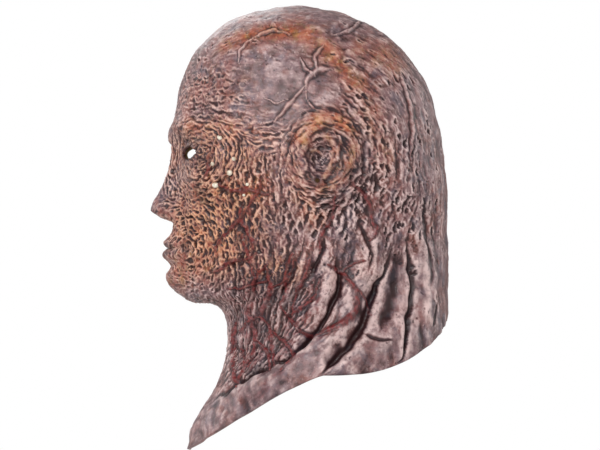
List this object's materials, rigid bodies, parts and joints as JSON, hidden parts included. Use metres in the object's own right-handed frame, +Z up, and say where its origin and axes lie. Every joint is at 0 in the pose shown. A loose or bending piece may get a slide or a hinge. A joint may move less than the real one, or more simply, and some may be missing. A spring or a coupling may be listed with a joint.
{
  "type": "latex halloween mask",
  "caption": "Over-the-head latex mask with a bald head, calm face, long hood and pointed bib, with foam fit pads and a nape elastic glued inside.",
  "frame": {"origin": "centre of the flat underside of the crown pad, where the wearer's head carries the mask", "axes": "+Z up the head, -Y the way the face looks, +X towards the mask's own left ear"},
  "size_m": [0.2118, 0.2507, 0.3716],
  "materials": {
    "painted_latex": "cast natural latex, painted in washes of mauve grey, ochre and dark red with a soft satin topcoat",
    "foam": "black open-cell upholstery foam, matte",
    "gauze": "cotton gauze soaked in latex",
    "elastic": "black woven elastic",
    "label_tape": "plain white woven label, blank"
  },
  "bodies": {
    "root": {"latex_skin": "painted_latex", "crown_pad": "foam", "forehead_pad": "foam", "nape_pad": "foam", "chin_pad": "foam", "left_temple_pad": "foam", "right_temple_pad": "foam", "left_cheek_pad": "foam", "right_cheek_pad": "foam", "left_strap_patch": "gauze", "right_strap_patch": "gauze", "nape_elastic": "elastic", "care_label": "label_tape"}
  },
  "joints": []
}
